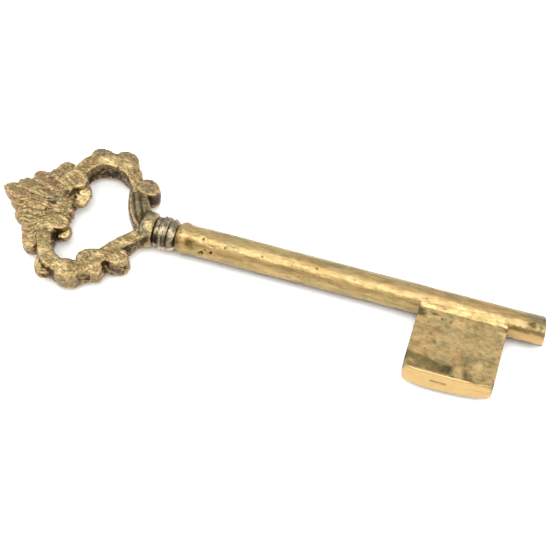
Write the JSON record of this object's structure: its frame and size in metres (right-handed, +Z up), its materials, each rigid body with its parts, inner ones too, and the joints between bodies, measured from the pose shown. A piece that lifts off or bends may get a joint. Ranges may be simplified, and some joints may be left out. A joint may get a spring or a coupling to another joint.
{
  "type": "blank skeleton key",
  "caption": "Blank skeleton key: an open scrolled bow with a leaf crest, a beaded neck, a plain round stem, an uncut square bit and a short pin end.",
  "frame": {"origin": "centre of the footprint, on the surface that the key lies on", "axes": "+X along the stem from the bow to the pin end, -Y from the stem to the free edge of the bit, +Z up from the table"},
  "size_m": [0.1084, 0.0326, 0.0064],
  "materials": {
    "cast_brass": "rough sand-cast brass, bright on the high spots and dark brown in the recesses",
    "tarnished_brass": "turned brass with grey-green tarnish in the grooves",
    "worn_brass": "dull worn brass with casting pits",
    "filed_brass": "filed flat brass with olive tarnish and a brighter ground edge"
  },
  "bodies": {
    "root": {"bow": "cast_brass", "neck_bead_wide": "tarnished_brass", "neck_bead_narrow": "tarnished_brass", "stem": "worn_brass", "bit": "filed_brass"}
  },
  "joints": []
}
